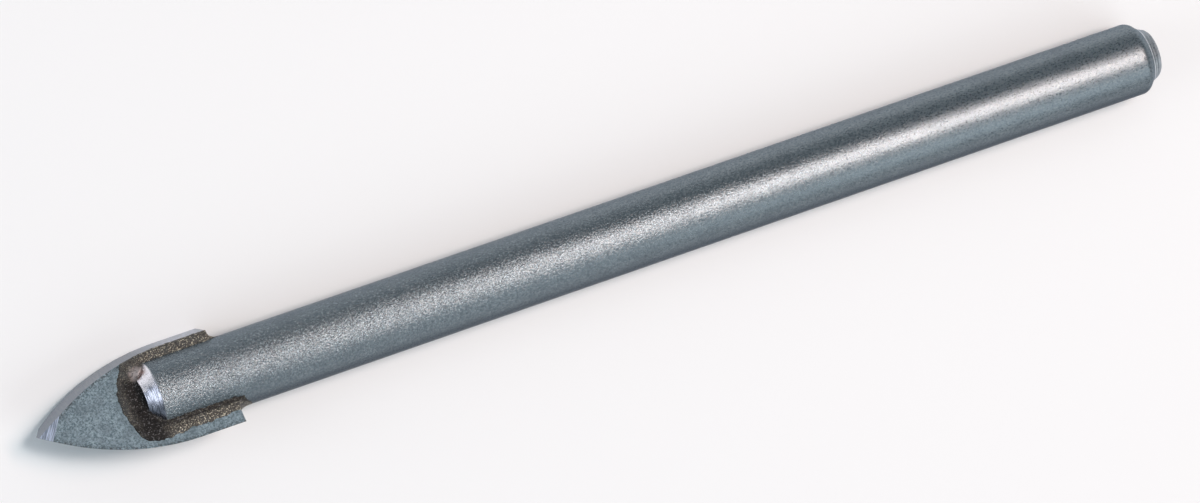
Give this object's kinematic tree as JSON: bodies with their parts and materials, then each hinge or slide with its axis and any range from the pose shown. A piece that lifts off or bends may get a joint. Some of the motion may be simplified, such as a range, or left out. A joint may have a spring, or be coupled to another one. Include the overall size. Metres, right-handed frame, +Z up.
{
  "type": "glass and tile drill bit",
  "caption": "Spear-point drill bit for glass and tile: a ground carbide blade brazed into the slotted end of a plain round steel shank.",
  "frame": {"origin": "on the ground plane under the middle of the bit, below the shank's axis", "axes": "+X along the bit from the point to the shank's end, +Y towards the side whose cutting edge meets the ground, +Z up"},
  "size_m": [0.083, 0.0068, 0.005],
  "materials": {
    "shank_steel": "tumbled steel with a fine pitted grain, dark blue-grey",
    "carbide": "sintered tungsten carbide with a granular grey-green face and smooth ground flanks",
    "braze_filler": "heat-stained brazing filler, dark brown with gold specks"
  },
  "bodies": {
    "root": {"shank": "shank_steel", "carbide_tip": "carbide", "braze": "braze_filler"}
  },
  "joints": []
}
